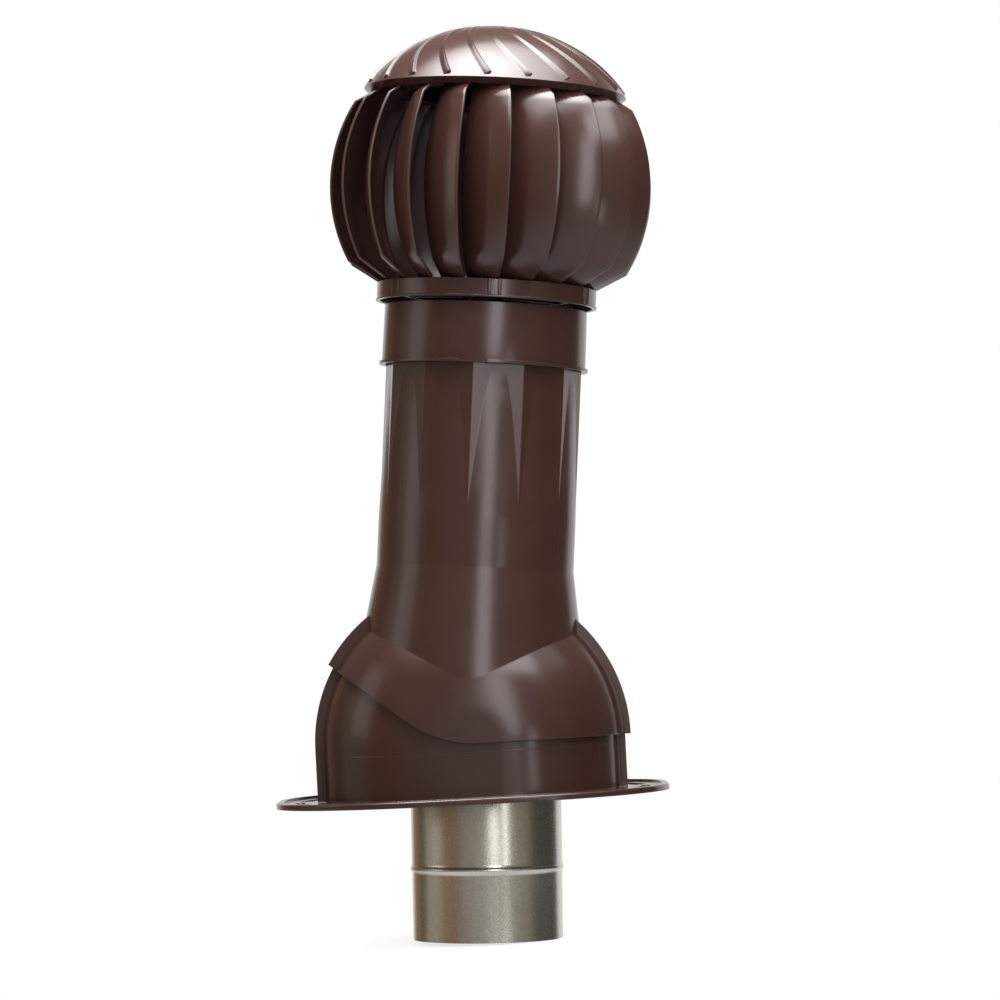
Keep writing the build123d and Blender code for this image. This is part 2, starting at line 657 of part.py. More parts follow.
def cap_hub():
    """Flanged housing of the upper bearing, screwed under the cap's boss."""
    tube_radius = BEARING_RADIUS + HUB_WALL
    body = disc(BOSS_RADIUS, hub_flange_bottom, boss_bottom)
    body += disc(tube_radius, upper_bearing - HUB_SHOULDER, hub_flange_bottom)
    body -= disc(BEARING_RADIUS + SEAT_GAP, under_nut, upper_bearing + BEARING_HEIGHT)
    body -= disc(WASHER_RADIUS + SEAT_GAP, upper_bearing, boss_bottom + PAST)
    hole = Pos(CAP_SCREW_CIRCLE, 0) * disc(SCREW_SHANK + SEAT_GAP, under_nut, boss_bottom + PAST)
    for cut in round_axle(hole, CAP_SCREW_COUNT, 0):
        body -= cut
    return PIPE * body


def cap_screws():
    """Screws from below through the hub's flange into the boss."""
    one = Pos(CAP_SCREW_CIRCLE, 0) * screw(hub_flange_bottom, boss_bottom + CAP_SCREW_BITE)
    return PIPE * Compound(children=round_axle(one, CAP_SCREW_COUNT, 0))


pieces = {
    "flange_base": flange_base(),
    "outer_pipe": outer_pipe(),
    "inner_duct": inner_duct(),
    "insulation_sleeve": insulation_sleeve(),
    "turbine_collar": turbine_collar(),
    "bearing_spider": bearing_spider(),
    "spider_screws": spider_screws(),
    "axle": axle(),
    "axle_nuts": axle_nuts(),
    "axle_washers": axle_washers(),
    "lower_bearing_inner": bearing_inner(lower_bearing),
    "upper_bearing_inner": bearing_inner(upper_bearing),
    "lower_bearing_outer": bearing_outer(lower_bearing),
    "upper_bearing_outer": bearing_outer(upper_bearing),
    "lower_ring": lower_ring(),
    "rotor_spider": rotor_spider(),
    "upper_ring": upper_ring(),
    "dome_cap": dome_cap(),
    "cap_hub": cap_hub(),
    "cap_screws": cap_screws(),
}
vane = vane_shape()
for number, copy in enumerate(round_axle(vane, VANE_COUNT, FRONT + VANE_TURN), start=1):
    pieces[f"vane_{number:02d}"] = PIPE * copy

os.makedirs("parts", exist_ok=True)
for name, piece in pieces.items():
    export_step(piece, f"parts/{name}.step")
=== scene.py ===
from math import asin, atan2, cos, hypot, pi, radians, sin

import bmesh
import bpy
from mathutils import Matrix, Quaternion, Vector


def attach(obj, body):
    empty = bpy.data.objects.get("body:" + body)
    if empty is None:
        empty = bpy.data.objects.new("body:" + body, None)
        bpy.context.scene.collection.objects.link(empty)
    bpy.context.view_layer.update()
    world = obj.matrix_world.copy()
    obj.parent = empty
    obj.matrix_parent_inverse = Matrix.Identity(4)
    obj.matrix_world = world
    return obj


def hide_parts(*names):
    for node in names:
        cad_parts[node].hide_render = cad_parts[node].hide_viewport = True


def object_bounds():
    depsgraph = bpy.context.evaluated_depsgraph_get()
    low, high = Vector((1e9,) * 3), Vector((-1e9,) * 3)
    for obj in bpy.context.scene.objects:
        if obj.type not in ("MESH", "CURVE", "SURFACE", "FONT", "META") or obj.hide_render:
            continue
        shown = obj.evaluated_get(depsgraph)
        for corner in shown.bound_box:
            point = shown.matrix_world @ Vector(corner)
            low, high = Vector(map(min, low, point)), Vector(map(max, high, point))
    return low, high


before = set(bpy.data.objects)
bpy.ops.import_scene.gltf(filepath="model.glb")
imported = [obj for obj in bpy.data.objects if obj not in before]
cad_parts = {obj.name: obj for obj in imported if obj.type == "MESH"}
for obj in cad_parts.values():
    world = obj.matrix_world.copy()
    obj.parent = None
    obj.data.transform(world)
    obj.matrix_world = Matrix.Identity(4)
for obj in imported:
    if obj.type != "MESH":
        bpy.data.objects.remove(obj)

cad_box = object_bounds()
mm = 0.001

# ---------------------------------------------------------------- camera, floor and light
# The ventilator stands on its duct on a plain white studio floor. A long lens looks at it
# from the front, a little above the flange and well below the cap. Soft boxes light it.

LENS, SENSOR = 149.2, 36.0
CAMERA_PLACE = (0.0292, -3.450, 0.1333)
CAMERA_ROLL, CAMERA_RISE = radians(3.0), radians(1.87)
CAMERA_REACH = 100.0

camera = bpy.data.objects.new("camera", bpy.data.cameras.new("camera"))
bpy.context.collection.objects.link(camera)
camera.data.lens = LENS
camera.data.sensor_width = SENSOR
camera.data.clip_end = CAMERA_REACH
camera.matrix_world = (
    Matrix.Translation(CAMERA_PLACE)
    @ Matrix.Rotation(CAMERA_ROLL, 4, "Y")
    @ Matrix.Rotation(pi / 2 + CAMERA_RISE, 4, "X")
)
bpy.context.scene.camera = camera
bpy.context.scene.view_settings.view_transform = "Standard"


def linear(colour):
    """sRGB hex colour as linear red, green, blue and alpha."""
    parts = [int(colour[i:i + 2], 16) / 255 for i in (1, 3, 5)]
    return [c / 12.92 if c <= 0.04045 else ((c + 0.055) / 1.055) ** 2.4 for c in parts] + [1.0]


def empty_tree(owner):
    """The node tree of a new material or of the world, with nothing in it."""
    owner.use_nodes = True
    owner.node_tree.nodes.clear()
    return owner.node_tree


def add(tree, kind, inputs=None, stops=(), **settings):
    """A shader node of one kind. Its inputs are set to values or joined to other sockets, by
    name or, where names repeat as on Mix, by number. The stops of a colour ramp are each a
    place from 0 to 1 and a hex colour."""
    new = tree.nodes.new("ShaderNode" + kind)
    for name, value in settings.items():
        setattr(new, name, value)
    for name, value in (inputs or {}).items():
        if isinstance(value, bpy.types.NodeSocket):
            tree.links.new(value, new.inputs[name])
        else:
            new.inputs[name].default_value = value
    if stops:
        elements = new.color_ramp.elements
        while len(elements) < len(stops):
            elements.new(1.0)
        for element, (place, colour) in zip(elements, stops):
            element.position = place
            element.color = linear(colour)
    return new


# What polished faces see of the studio, by the angle round from the camera's side in
# degrees: white behind the object, warm walls on the left, a dark wall on the right.
ROOM = (
    (-180, "#FFFFFF"), (-154, "#FFFFFF"), (-150, "#A08060"), (-130, "#937355"),
    (-124, "#5E584A"), (-110, "#6A6354"), (-104, "#B0A792"), (-80, "#A89C86"),
    (-72, "#8F7153"), (-46, "#8C7256"), (-36, "#96908A"), (0, "#A8A29A"), (28, "#A09A90"),
    (66, "#8A836E"), (76, "#4A4841"), (132, "#4A4841"), (137, "#FFFFFF"), (180, "#FFFFFF"),
)
WORLD_FILL = "#AEAEAE"      # even light on the object
TABLE = "#F0F0F0"           # what comes back up from a white table
TABLE_EDGE = (-0.15, -0.5)  # which sets in between these heights, as sines
UPPER_WALL = "#8E857C"      # all round, above the lit part of the walls
UPPER_EDGE = (0.34, 0.46)   # which sets in between these heights, as sines
CEILING_WAY = (-0.08, -0.13, 0.99)  # towards the middle of a round soft box overhead
CEILING_LEVEL = 9.0                 # that only polished faces see
CEILING_EDGE = (0.88, 0.995)        # where it starts and is full, as cosines off that way
WHITE = "#FFFFFF"

world = bpy.data.worlds.new("studio")
bpy.context.scene.world = world
tree = empty_tree(world)
ray = add(tree, "LightPath")
place = add(tree, "TexCoord")
split = add(tree, "SeparateXYZ", {"Vector": place.outputs["Generated"]})
ahead = add(tree, "Math", {0: split.outputs["Y"], 1: -1.0}, operation="MULTIPLY")
round_angle = add(tree, "Math", {0: split.outputs["X"], 1: ahead.outputs[0]},
                  operation="ARCTAN2")
share = add(tree, "MapRange", {"Value": round_angle.outputs[0], "From Min": -pi,
                               "From Max": pi})
walls = add(tree, "ValToRGB", {"Fac": share.outputs["Result"]},
            stops=[(0.5 + angle / 360, colour) for angle, colour in ROOM])
high = add(tree, "MapRange", {"Value": split.outputs["Z"], "From Min": UPPER_EDGE[0],
                              "From Max": UPPER_EDGE[1]})
walls = add(tree, "Mix", {0: high.outputs["Result"], 6: walls.outputs["Color"],
                          7: linear(UPPER_WALL)}, data_type="RGBA")
near = add(tree, "VectorMath", {0: place.outputs["Generated"], 1: CEILING_WAY},
           operation="DOT_PRODUCT")
above = add(tree, "MapRange", {"Value": near.outputs["Value"], "From Min": CEILING_EDGE[0],
                               "From Max": CEILING_EDGE[1], "To Max": CEILING_LEVEL})
room = add(tree, "Mix", {0: 1.0, 6: walls.outputs[2], 7: above.outputs["Result"]},
           data_type="RGBA", blend_type="ADD")
lit = add(tree, "Mix", {0: ray.outputs["Is Glossy Ray"], 6: linear(WORLD_FILL),
                        7: room.outputs[2]}, data_type="RGBA")
under = add(tree, "MapRange", {"Value": split.outputs["Z"], "From Min": TABLE_EDGE[0],
                               "From Max": TABLE_EDGE[1]})
lit = add(tree, "Mix", {0: under.outputs["Result"], 6: lit.outputs[2], 7: linear(TABLE)},
          data_type="RGBA")
through = add(tree, "Math", {0: ray.outputs["Is Camera Ray"],
                             1: ray.outputs["Is Transmission Ray"]}, operation="MAXIMUM")
seen = add(tree, "Mix", {0: through.outputs[0], 6: lit.outputs[2], 7: linear(WHITE)},
           data_type="RGBA")
glow = add(tree, "Background", {"Color": seen.outputs[2]})
add(tree, "OutputWorld", {"Surface": glow.outputs["Background"]})

FLOOR_RADIUS, FLOOR_SIDES = 0.6, 64
FLOOR_PAINT = "#EDEDED"
FLOOR_FADE = (0.10, 0.42)       # the paint runs out into the white round the set
FLOOR_GLOW = 0.7                # and glows a little, so that the shadow is a soft grey


def object_of(name, bm):
    """An object that holds the shape of a bmesh, which is used up."""
    mesh = bpy.data.meshes.new(name)
    bm.to_mesh(mesh)
    bm.free()
    made = bpy.data.objects.new(name, mesh)
    bpy.context.collection.objects.link(made)
    return made


bm = bmesh.new()
bmesh.ops.create_circle(bm, cap_ends=True, segments=FLOOR_SIDES, radius=FLOOR_RADIUS)
bmesh.ops.translate(bm, verts=bm.verts, vec=(0, 0, cad_box[0][2]))
floor = object_of("floor", bm)
# Matt white paint: a plain even tone without a gleam, which only the shadow breaks.
pale_floor = bpy.data.materials.new("painted_studio_floor")
tree = empty_tree(pale_floor)
ray = add(tree, "LightPath")
place = add(tree, "TexCoord")
away = add(tree, "VectorMath", {0: place.outputs["Object"]}, operation="LENGTH")
thin = add(tree, "MapRange", {"Value": away.outputs["Value"], "From Min": FLOOR_FADE[0],
                              "From Max": FLOOR_FADE[1]})
fade = add(tree, "Math", {0: thin.outputs["Result"], 1: ray.outputs["Is Glossy Ray"]},
           operation="MAXIMUM")
lift = add(tree, "Math", {0: ray.outputs["Is Camera Ray"], 1: FLOOR_GLOW},
           operation="MULTIPLY")
paint = add(tree, "BsdfPrincipled", {"Base Color": linear(FLOOR_PAINT), "Roughness": 0.9,
                                     "Emission Color": linear(WHITE),
                                     "Emission Strength": lift.outputs[0]})
clear = add(tree, "BsdfTransparent")
round_floor = add(tree, "MixShader", {0: fade.outputs[0], 1: paint.outputs["BSDF"],
                                      2: clear.outputs["BSDF"]})
add(tree, "OutputMaterial", {"Surface": round_floor.outputs["Shader"]})
floor.data.materials.append(pale_floor)


LAMP_AIM_X, LAMP_AIM = 0.02, 0.35   # the place and height that most lamps are turned to


def soft_box(name, azimuth, height, distance, size, power, aim=LAMP_AIM, roll=0, spread=180):
    """A rectangular lamp that looks at the object. Its azimuth goes round from the camera's
    side, its roll turns it about the way it looks, and its spread is how wide it throws its
    light, all in degrees. The rest is in metres and watts."""
    lamp = bpy.data.lights.new(name, "AREA")
    lamp.shape = "RECTANGLE"
    lamp.size, lamp.size_y = size
    lamp.energy = power
    lamp.spread = radians(spread)
    made = bpy.data.objects.new(name, lamp)
    bpy.context.collection.objects.link(made)
    angle = radians(azimuth)
    made.location = (distance * sin(angle), -distance * cos(angle), height)
    away = made.location - Vector((LAMP_AIM_X, 0, aim))
    facing = away.to_track_quat("Z", "Y") @ Quaternion((0, 0, 1), radians(roll))
    made.rotation_euler = facing.to_euler()


soft_box("key", 14, height=0.92, distance=2.4, size=(0.6, 1.7), power=15, roll=-10)
soft_box("low", 29, height=-0.02, distance=2.4, size=(0.3, 0.35), power=1.3, aim=0.05)
soft_box("front_overhead", 38, height=1.9, distance=1.9, size=(1.3, 0.7), power=20)
soft_box("left", -80, height=1.0, distance=2.2, size=(0.9, 1.6), power=4)
soft_box("right", 78, height=2.1, distance=1.8, size=(1.2, 1.2), power=6)
soft_box("top", 20, height=1.25, distance=0.16, size=(1.1, 0.9), power=12, spread=100)

# ---------------------------------------------------------------- flange with its hump
# The base is one injection moulding of chocolate brown polypropylene: a flat flange with a
# raised rim, and the rounded hump that the pipe tilts on. Screws hold it to the roof.

BROWN_LIGHT, BROWN_DARK = "#3B2521", "#331E1B"
BROWN_ROUGHNESS = 0.23
SEAM_HEIGHT = 40 * mm       # a fine parting line of the mould runs round the hump
ROUND_EDGE = 1.5            # mm, edges of the two large mouldings
CRISP_EDGE = 0.5            # mm, edges of the small ones


def moulded_plastic(name, light, dark, roughness, soften, seam=None):
    """Injection moulded polypropylene or polyamide: an even colour with faint clouds of flow
    marks, a satin skin that is barely uneven, edges softened by so many mm as the mould
    leaves them, and a parting line if it has a height."""
    CLOUD = 40 * mm         # size of the flow marks
    GLOSS_CHANGE = 0.04     # by which roughness goes up and down with them
    PEEL = 3.5 * mm         # size of the unevenness of the skin, drawn coarse to show
    PEEL_DEPTH = 0.1 * mm
    SEAM_WIDTH, SEAM_RAISED = 0.35 * mm, 0.15 * mm
    made = bpy.data.materials.new(name)
    tree = empty_tree(made)
    place = add(tree, "TexCoord")
    cloud = add(tree, "TexNoise", {"Vector": place.outputs["Object"], "Scale": 1 / CLOUD,
                                   "Detail": 3.0})
    tint = add(tree, "Mix", {0: cloud.outputs["Fac"], 6: linear(dark), 7: linear(light)},
               data_type="RGBA")
    gloss = add(tree, "MapRange", {"Value": cloud.outputs["Fac"],
                                   "To Min": roughness - GLOSS_CHANGE,
                                   "To Max": roughness + GLOSS_CHANGE})
    peel = add(tree, "TexNoise", {"Vector": place.outputs["Object"], "Scale": 1 / PEEL,
                                  "Detail": 2.0})
    soft_edge = add(tree, "Bevel", {"Radius": soften * mm}, samples=6)
    skin = add(tree, "Bump", {"Height": peel.outputs["Fac"], "Strength": 0.05,
                              "Distance": PEEL_DEPTH,
                              "Normal": soft_edge.outputs["Normal"]})
    if seam:
        split = add(tree, "SeparateXYZ", {"Vector": place.outputs["Object"]})
        off = add(tree, "Math", {0: split.outputs["Z"], 1: seam}, operation="SUBTRACT")
        near = add(tree, "Math", {0: off.outputs[0]}, operation="ABSOLUTE")
        ridge = add(tree, "MapRange", {"Value": near.outputs[0], "From Min": 0.0,
                                       "From Max": SEAM_WIDTH, "To Min": 1.0, "To Max": 0.0})
        skin = add(tree, "Bump", {"Height": ridge.outputs["Result"], "Strength": 0.5,
                                  "Distance": SEAM_RAISED, "Normal": skin.outputs["Normal"]})
    body = add(tree, "BsdfPrincipled", {"Base Color": tint.outputs[2],
                                        "Roughness": gloss.outputs["Result"], "IOR": 1.49,
                                        "Normal": skin.outputs["Normal"]})
    add(tree, "OutputMaterial", {"Surface": body.outputs["BSDF"]})
    return made


def dress(material, *nodes):
    """Gives pieces of the frame their material."""
    for node in nodes:
        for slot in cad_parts[node].material_slots:
            slot.material = material


flange_plastic = moulded_plastic("moulded_polypropylene_with_parting_line", BROWN_LIGHT,
                                 BROWN_DARK, BROWN_ROUGHNESS, ROUND_EDGE, SEAM_HEIGHT)
dress(flange_plastic, "flange_base")

# ---------------------------------------------------------------- pipe with its skirt
# The pipe is a second moulding of the same plastic: a round skirt that slides on the hump,
# a flared round foot, and above the arches twelve flat sides up to the collar.

pipe_plastic = moulded_plastic("moulded_polypropylene_with_round_edges", BROWN_LIGHT,
                               BROWN_DARK, BROWN_ROUGHNESS, ROUND_EDGE)
dress(pipe_plastic, "outer_pipe")

# ---------------------------------------------------------------- foam sleeve
# A sleeve of pale closed-cell polyethylene foam fills the room between the duct and the
# pipe. Its cut ends show fine bubbles.

# The first colour is painted shade for the bubbles' hollows, the second the foam's own colour.
FOAM_PAINTED_SHADE, FOAM_SKIN = "#B9B3A4", "#D3CDBF"
CELL, CELL_DEPTH = 1.8 * mm, 0.3 * mm       # its bubbles, drawn coarse to show

# Extruded foam, cut to length: matt and off-white, pitted all over by bubbles, with
# painted shade darkening their hollows.
foam = bpy.data.materials.new("closed_cell_polyethylene_foam")
tree = empty_tree(foam)
place = add(tree, "TexCoord")
cells = add(tree, "TexVoronoi", {"Vector": place.outputs["Object"], "Scale": 1 / CELL})
hollow = add(tree, "Bump", {"Height": cells.outputs["Distance"], "Strength": 0.5,
                            "Distance": CELL_DEPTH})
cell_tone_with_painted_shade = add(tree, "ValToRGB", {"Fac": cells.outputs["Distance"]},
           stops=((0.0, FOAM_PAINTED_SHADE), (0.6, FOAM_SKIN)))
body = add(tree, "BsdfPrincipled", {"Base Color": cell_tone_with_painted_shade.outputs["Color"], "Roughness": 0.85,
                                    "Normal": hollow.outputs["Normal"]})
add(tree, "OutputMaterial", {"Surface": body.outputs["BSDF"]})
dress(foam, "insulation_sleeve")

# ---------------------------------------------------------------- inner duct
# The duct is a 125 mm tube of thin galvanised sheet with a bead rolled in below the flange,
# up to which the next duct is pushed on. It hangs in the pipe and leans a little.

DUCT_SHIFT, DUCT_LEAN = 10.5, radians(2.0)
DUCT_PLACE = (Matrix.Translation((DUCT_SHIFT * mm, 0, 0))
              @ Matrix.Rotation(DUCT_LEAN, 4, "Y"))
DUCT_RADIUS, SPIGOT_RADIUS = 62.5, 62.25
DUCT_WALL = 0.6
DUCT_FOOT, DUCT_TOP = -117.0, 381.0
DUCT_STEPS = 128
BEAD_MIDDLE, BEAD_HALF, BEAD_HEIGHT = -58.0, 3.0, 1.7
BEAD_ROUND = 1.6


def profile(*points, closed=False):
    """A bmesh with a line through points that are given as radius and height in mm."""
    bm = bmesh.new()
    spots = [bm.verts.new((radius * mm, 0, height * mm)) for radius, height in points]
    for start, end in zip(spots, spots[1:] + spots[:1] if closed else spots[1:]):
        bm.edges.new((start, end))
    return bm


def rounded(bm, corners, size):
    """Rounds corners of a profile."""
    bmesh.ops.bevel(bm, geom=corners, offset=size * mm, offset_type="OFFSET", segments=4,
                    profile=0.5, affect="VERTICES", material=-1)


def turned(bm, steps=180):
    """Spins a profile a full turn about the upright axis, with its seam and poles closed."""
    CLOSE = 0.001 * mm
    bmesh.ops.spin(bm, geom=bm.verts[:] + bm.edges[:], cent=(0, 0, 0), axis=(0, 0, 1),
                   angle=2 * pi, steps=steps, use_merge=True)
    bmesh.ops.remove_doubles(bm, verts=bm.verts, dist=CLOSE)
    bmesh.ops.recalc_face_normals(bm, faces=bm.faces)


def piece_of(name, bm, place, material, body, slot, *stands_for):
    """A finished piece from a bmesh: put in its place and shaded smooth between its sharp
    edges, with its material, the body it moves with and the nodes that it stands for."""
    SHARP = radians(32)
    bm.transform(place)
    for face in bm.faces:
        face.smooth = True
    for edge in bm.edges:
        edge.smooth = edge.calc_face_angle(0) < SHARP
    made = object_of(name, bm)
    made.data.materials.append(material)
    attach(made, body)
    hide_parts(*stands_for)
    return made


SHEET_DARK, SHEET_LIGHT = "#BDBBB4", "#C9C7C0"
SHEET_ROUGHNESS = (0.23, 0.29)
SPANGLE = 1.6 * mm          # fine zinc crystals
STREAK = 2.5 * mm           # fine marks of the rolling mill, drawn coarse to show
STREAK_DEPTH = 0.05 * mm
ALONG_TUBE = (1, 1, 0.04)   # stretches the streaks along the tube

# Zinc on rolled steel looks like a soft mirror: clear bands of the room run along the tube,
# faintly broken up by the crystals and by streaks from the rolls.
galvanised = bpy.data.materials.new("hot_dip_galvanised_sheet")
tree = empty_tree(galvanised)
place = add(tree, "TexCoord")
crystals = add(tree, "TexVoronoi", {"Vector": place.outputs["Object"], "Scale": 1 / SPANGLE,
                                    "Randomness": 1.0})
grain = add(tree, "SeparateColor", {"Color": crystals.outputs["Color"]})
drawn = add(tree, "VectorMath", {0: place.outputs["Object"], 1: ALONG_TUBE},
            operation="MULTIPLY")
streaks = add(tree, "TexNoise", {"Vector": drawn.outputs["Vector"], "Scale": 1 / STREAK,
                                 "Detail": 3.0})
mottle = add(tree, "Mix", {0: 0.5, 2: grain.outputs["Red"], 3: streaks.outputs["Fac"]},
             data_type="FLOAT")
metal = add(tree, "ValToRGB", {"Fac": mottle.outputs[0]},
            stops=((0.2, SHEET_DARK), (0.8, SHEET_LIGHT)))
polish = add(tree, "MapRange", {"Value": mottle.outputs[0], "To Min": SHEET_ROUGHNESS[0],
                                "To Max": SHEET_ROUGHNESS[1]})
waves = add(tree, "Bump", {"Height": streaks.outputs["Fac"], "Strength": 0.04,
                           "Distance": STREAK_DEPTH})
body = add(tree, "BsdfPrincipled", {"Base Color": metal.outputs["Color"], "Metallic": 1.0,
                                    "Roughness": polish.outputs["Result"],
                                    "Normal": waves.outputs["Normal"]})
add(tree, "OutputMaterial", {"Surface": body.outputs["BSDF"]})

bm = profile((SPIGOT_RADIUS, DUCT_FOOT), (SPIGOT_RADIUS, BEAD_MIDDLE - BEAD_HALF),
             (DUCT_RADIUS + BEAD_HEIGHT, BEAD_MIDDLE), (DUCT_RADIUS, BEAD_MIDDLE + BEAD_HALF),
             (DUCT_RADIUS, DUCT_TOP))
bm.verts.ensure_lookup_table()
rounded(bm, bm.verts[1:4], BEAD_ROUND)
turned(bm, DUCT_STEPS)
bmesh.ops.solidify(bm, geom=bm.faces, thickness=DUCT_WALL * mm)
piece_of("duct_of_galvanised_sheet", bm, DUCT_PLACE, galvanised, "pipe",
         "galvanised_sheet", "inner_duct")

# ---------------------------------------------------------------- collar on the pipe
# A tapered brown collar is pushed over the pipe's end and carries the turbine. Its bottom
# lip is broken three times, and an inner ledge rests on the pipe and holds the spider.

HINGE_HEIGHT, PIPE_LEAN, PIPE_OFFSET = 48, radians(5.4), -2
PIPE_PLACE = (Matrix.Translation((0, 0, HINGE_HEIGHT * mm))
              @ Matrix.Rotation(PIPE_LEAN, 4, "Y")
              @ Matrix.Translation((PIPE_OFFSET * mm, 0, 0)))
COLLAR_BOTTOM, COLLAR_TOP = 309.0, 359.0
COLLAR_RADIUS, COLLAR_TOP_RADIUS = 84.89, 84.29
COLLAR_BORE, COLLAR_SEAT = 82.09, 81.49     # below and above the ledge
COLLAR_EDGE = 0.35
LEDGE_BORE = 69.3
LEDGE_BOTTOM, LEDGE_TOP = 345.0, 348.0
LIP_REACH, LIP_HEIGHT, LIP_SUNK = 2.1, 2.5, 0.3
LIP_BREAKS, LIP_BREAK_WIDTH = 3, 23.0
LIP_TURN = radians(-5.6)
LIP_STEPS = 60
FRONT = radians(-90)


def join(bm, part):
    """Adds the shape of another bmesh, which is used up."""
    kept = bpy.data.meshes.new("part")
    part.to_mesh(kept)
    part.free()
    bm.from_mesh(kept)
    bpy.data.meshes.remove(kept)


brown_plastic = moulded_plastic("moulded_chocolate_polypropylene", BROWN_LIGHT, BROWN_DARK,
                                BROWN_ROUGHNESS, CRISP_EDGE)
bm = profile((COLLAR_BORE, COLLAR_BOTTOM), (COLLAR_RADIUS, COLLAR_BOTTOM),
             (COLLAR_TOP_RADIUS, COLLAR_TOP), (COLLAR_SEAT, COLLAR_TOP),
             (COLLAR_SEAT, LEDGE_TOP), (LEDGE_BORE, LEDGE_TOP), (LEDGE_BORE, LEDGE_BOTTOM),
             (COLLAR_BORE, LEDGE_BOTTOM), closed=True)
rounded(bm, bm.verts[:], COLLAR_EDGE)
turned(bm)
lip_root = COLLAR_RADIUS - LIP_SUNK
lip_outside = COLLAR_RADIUS + LIP_REACH
half_break = asin(LIP_BREAK_WIDTH / 2 / lip_outside)
for count in range(LIP_BREAKS):
    lip = profile((lip_root, COLLAR_BOTTOM), (lip_outside, COLLAR_BOTTOM),
                  (lip_outside, COLLAR_BOTTOM + LIP_HEIGHT),
                  (lip_root, COLLAR_BOTTOM + LIP_HEIGHT), closed=True)
    bmesh.ops.contextual_create(lip, geom=lip.edges)
    start = FRONT + LIP_TURN + 2 * pi * count / LIP_BREAKS + half_break
    bmesh.ops.rotate(lip, verts=lip.verts, cent=(0, 0, 0),
                     matrix=Matrix.Rotation(start, 3, "Z"))
    bmesh.ops.spin(lip, geom=lip.faces[:], cent=(0, 0, 0), axis=(0, 0, 1),
                   angle=2 * pi / LIP_BREAKS - 2 * half_break, steps=LIP_STEPS)
    bmesh.ops.recalc_face_normals(lip, faces=lip.faces)
    join(bm, lip)
piece_of("collar_on_the_pipe", bm, PIPE_PLACE, brown_plastic, "pipe", "brown_plastic",
         "turbine_collar")

# ---------------------------------------------------------------- fixed spider and axle
# A black spider of glass-filled polyamide sits on the collar's ledge and holds a threaded
# steel axle. Zinc plated nuts, washers and screws clamp them together.

BLACK_LIGHT, BLACK_DARK, BLACK_ROUGHNESS = "#232325", "#1A1A1C", 0.5
PLATE_DARK, PLATE_LIGHT = "#A9ACB0", "#C2C4C6"
PLATE_ROUGHNESS = (0.25, 0.45)
BATH = 0.8 * mm             # size of the clouds that the plating bath leaves

black_polyamide = moulded_plastic("moulded_black_polyamide", BLACK_LIGHT, BLACK_DARK,
                                  BLACK_ROUGHNESS, CRISP_EDGE)
dress(black_polyamide, "bearing_spider")

# Zinc plating on small turned steel parts: a bluish half-dull metal, cloudy from its bath.
zinc = bpy.data.materials.new("bright_zinc_plated_steel")
tree = empty_tree(zinc)
place = add(tree, "TexCoord")
bath = add(tree, "TexNoise", {"Vector": place.outputs["Object"], "Scale": 1 / BATH,
                              "Detail": 4.0})
metal = add(tree, "ValToRGB", {"Fac": bath.outputs["Fac"]},
            stops=((0.3, PLATE_DARK), (0.7, PLATE_LIGHT)))
dull = add(tree, "MapRange", {"Value": bath.outputs["Fac"], "To Min": PLATE_ROUGHNESS[0],
                              "To Max": PLATE_ROUGHNESS[1]})
body = add(tree, "BsdfPrincipled", {"Base Color": metal.outputs["Color"], "Metallic": 1.0,
                                    "Roughness": dull.outputs["Result"]})
add(tree, "OutputMaterial", {"Surface": body.outputs["BSDF"]})
dress(zinc, "spider_screws", "axle", "axle_washers", "cap_screws")

# Hexagon nuts: six flats milled on a turned blank. Only a small round face at each end bears
# on what the nut clamps, so that a nut clears the outer ring of the bearing beside it.
NUT_HALF_FLATS, NUT_HEIGHT, NUT_BORE, NUT_BLANK = 6.5, 6.5, 4.05, 7.4
NUT_FACE_RADIUS, NUT_FACE = 5.9, 0.25
NUT_SIDES, NUT_STEPS = 6, 96
NUTS_AT = (335.9, 357.6, 561.492, 574.992)


def whole(bm):
    """All that a bmesh holds."""
    return bm.verts[:] + bm.edges[:] + bm.faces[:]


def verts_in(geom):
    """The vertices among what an operator gives back."""
    return [part for part in geom if isinstance(part, bmesh.types.BMVert)]


def edges_in(geom):
    """The edges among what an operator gives back."""
    return [part for part in geom if isinstance(part, bmesh.types.BMEdge)]


low = NUTS_AT[0]
high = low + NUT_HEIGHT
bm = profile((NUT_BORE, low), (NUT_FACE_RADIUS, low), (NUT_FACE_RADIUS, low + NUT_FACE),
             (NUT_BLANK, low + NUT_FACE), (NUT_BLANK, high - NUT_FACE),
             (NUT_FACE_RADIUS, high - NUT_FACE), (NUT_FACE_RADIUS, high), (NUT_BORE, high),
             closed=True)
turned(bm, NUT_STEPS)
for side in range(NUT_SIDES):
    angle = (side + 0.5) * 2 * pi / NUT_SIDES
    way = Vector((cos(angle), sin(angle), 0))
    cut = bmesh.ops.bisect_plane(bm, geom=whole(bm), plane_co=way * NUT_HALF_FLATS * mm,
                                 plane_no=way, clear_outer=True)
    bmesh.ops.contextual_create(bm, geom=edges_in(cut["geom_cut"]))
bmesh.ops.recalc_face_normals(bm, faces=bm.faces)
first_nut = whole(bm)
for bottom in NUTS_AT[1:]:
    copied = bmesh.ops.duplicate(bm, geom=first_nut)["geom"]
    bmesh.ops.translate(bm, verts=verts_in(copied), vec=(0, 0, (bottom - low) * mm))
piece_of("axle_nuts_of_zinc_plated_steel", bm, PIPE_PLACE, zinc, "pipe", "zinc_screws",
         "axle_nuts")

# ---------------------------------------------------------------- sealed ball bearings
# Two 8 x 22 x 7 mm bearings of ground steel, one in the rotor's spider and one under the
# cap, carry the turbine.

GROUND_DARK, GROUND_LIGHT = "#B5B7BB", "#C6C8CB"
GROUND_ROUGHNESS = (0.08, 0.2)
GRIND = 0.25 * mm           # size of the grinding marks, drawn coarse to show

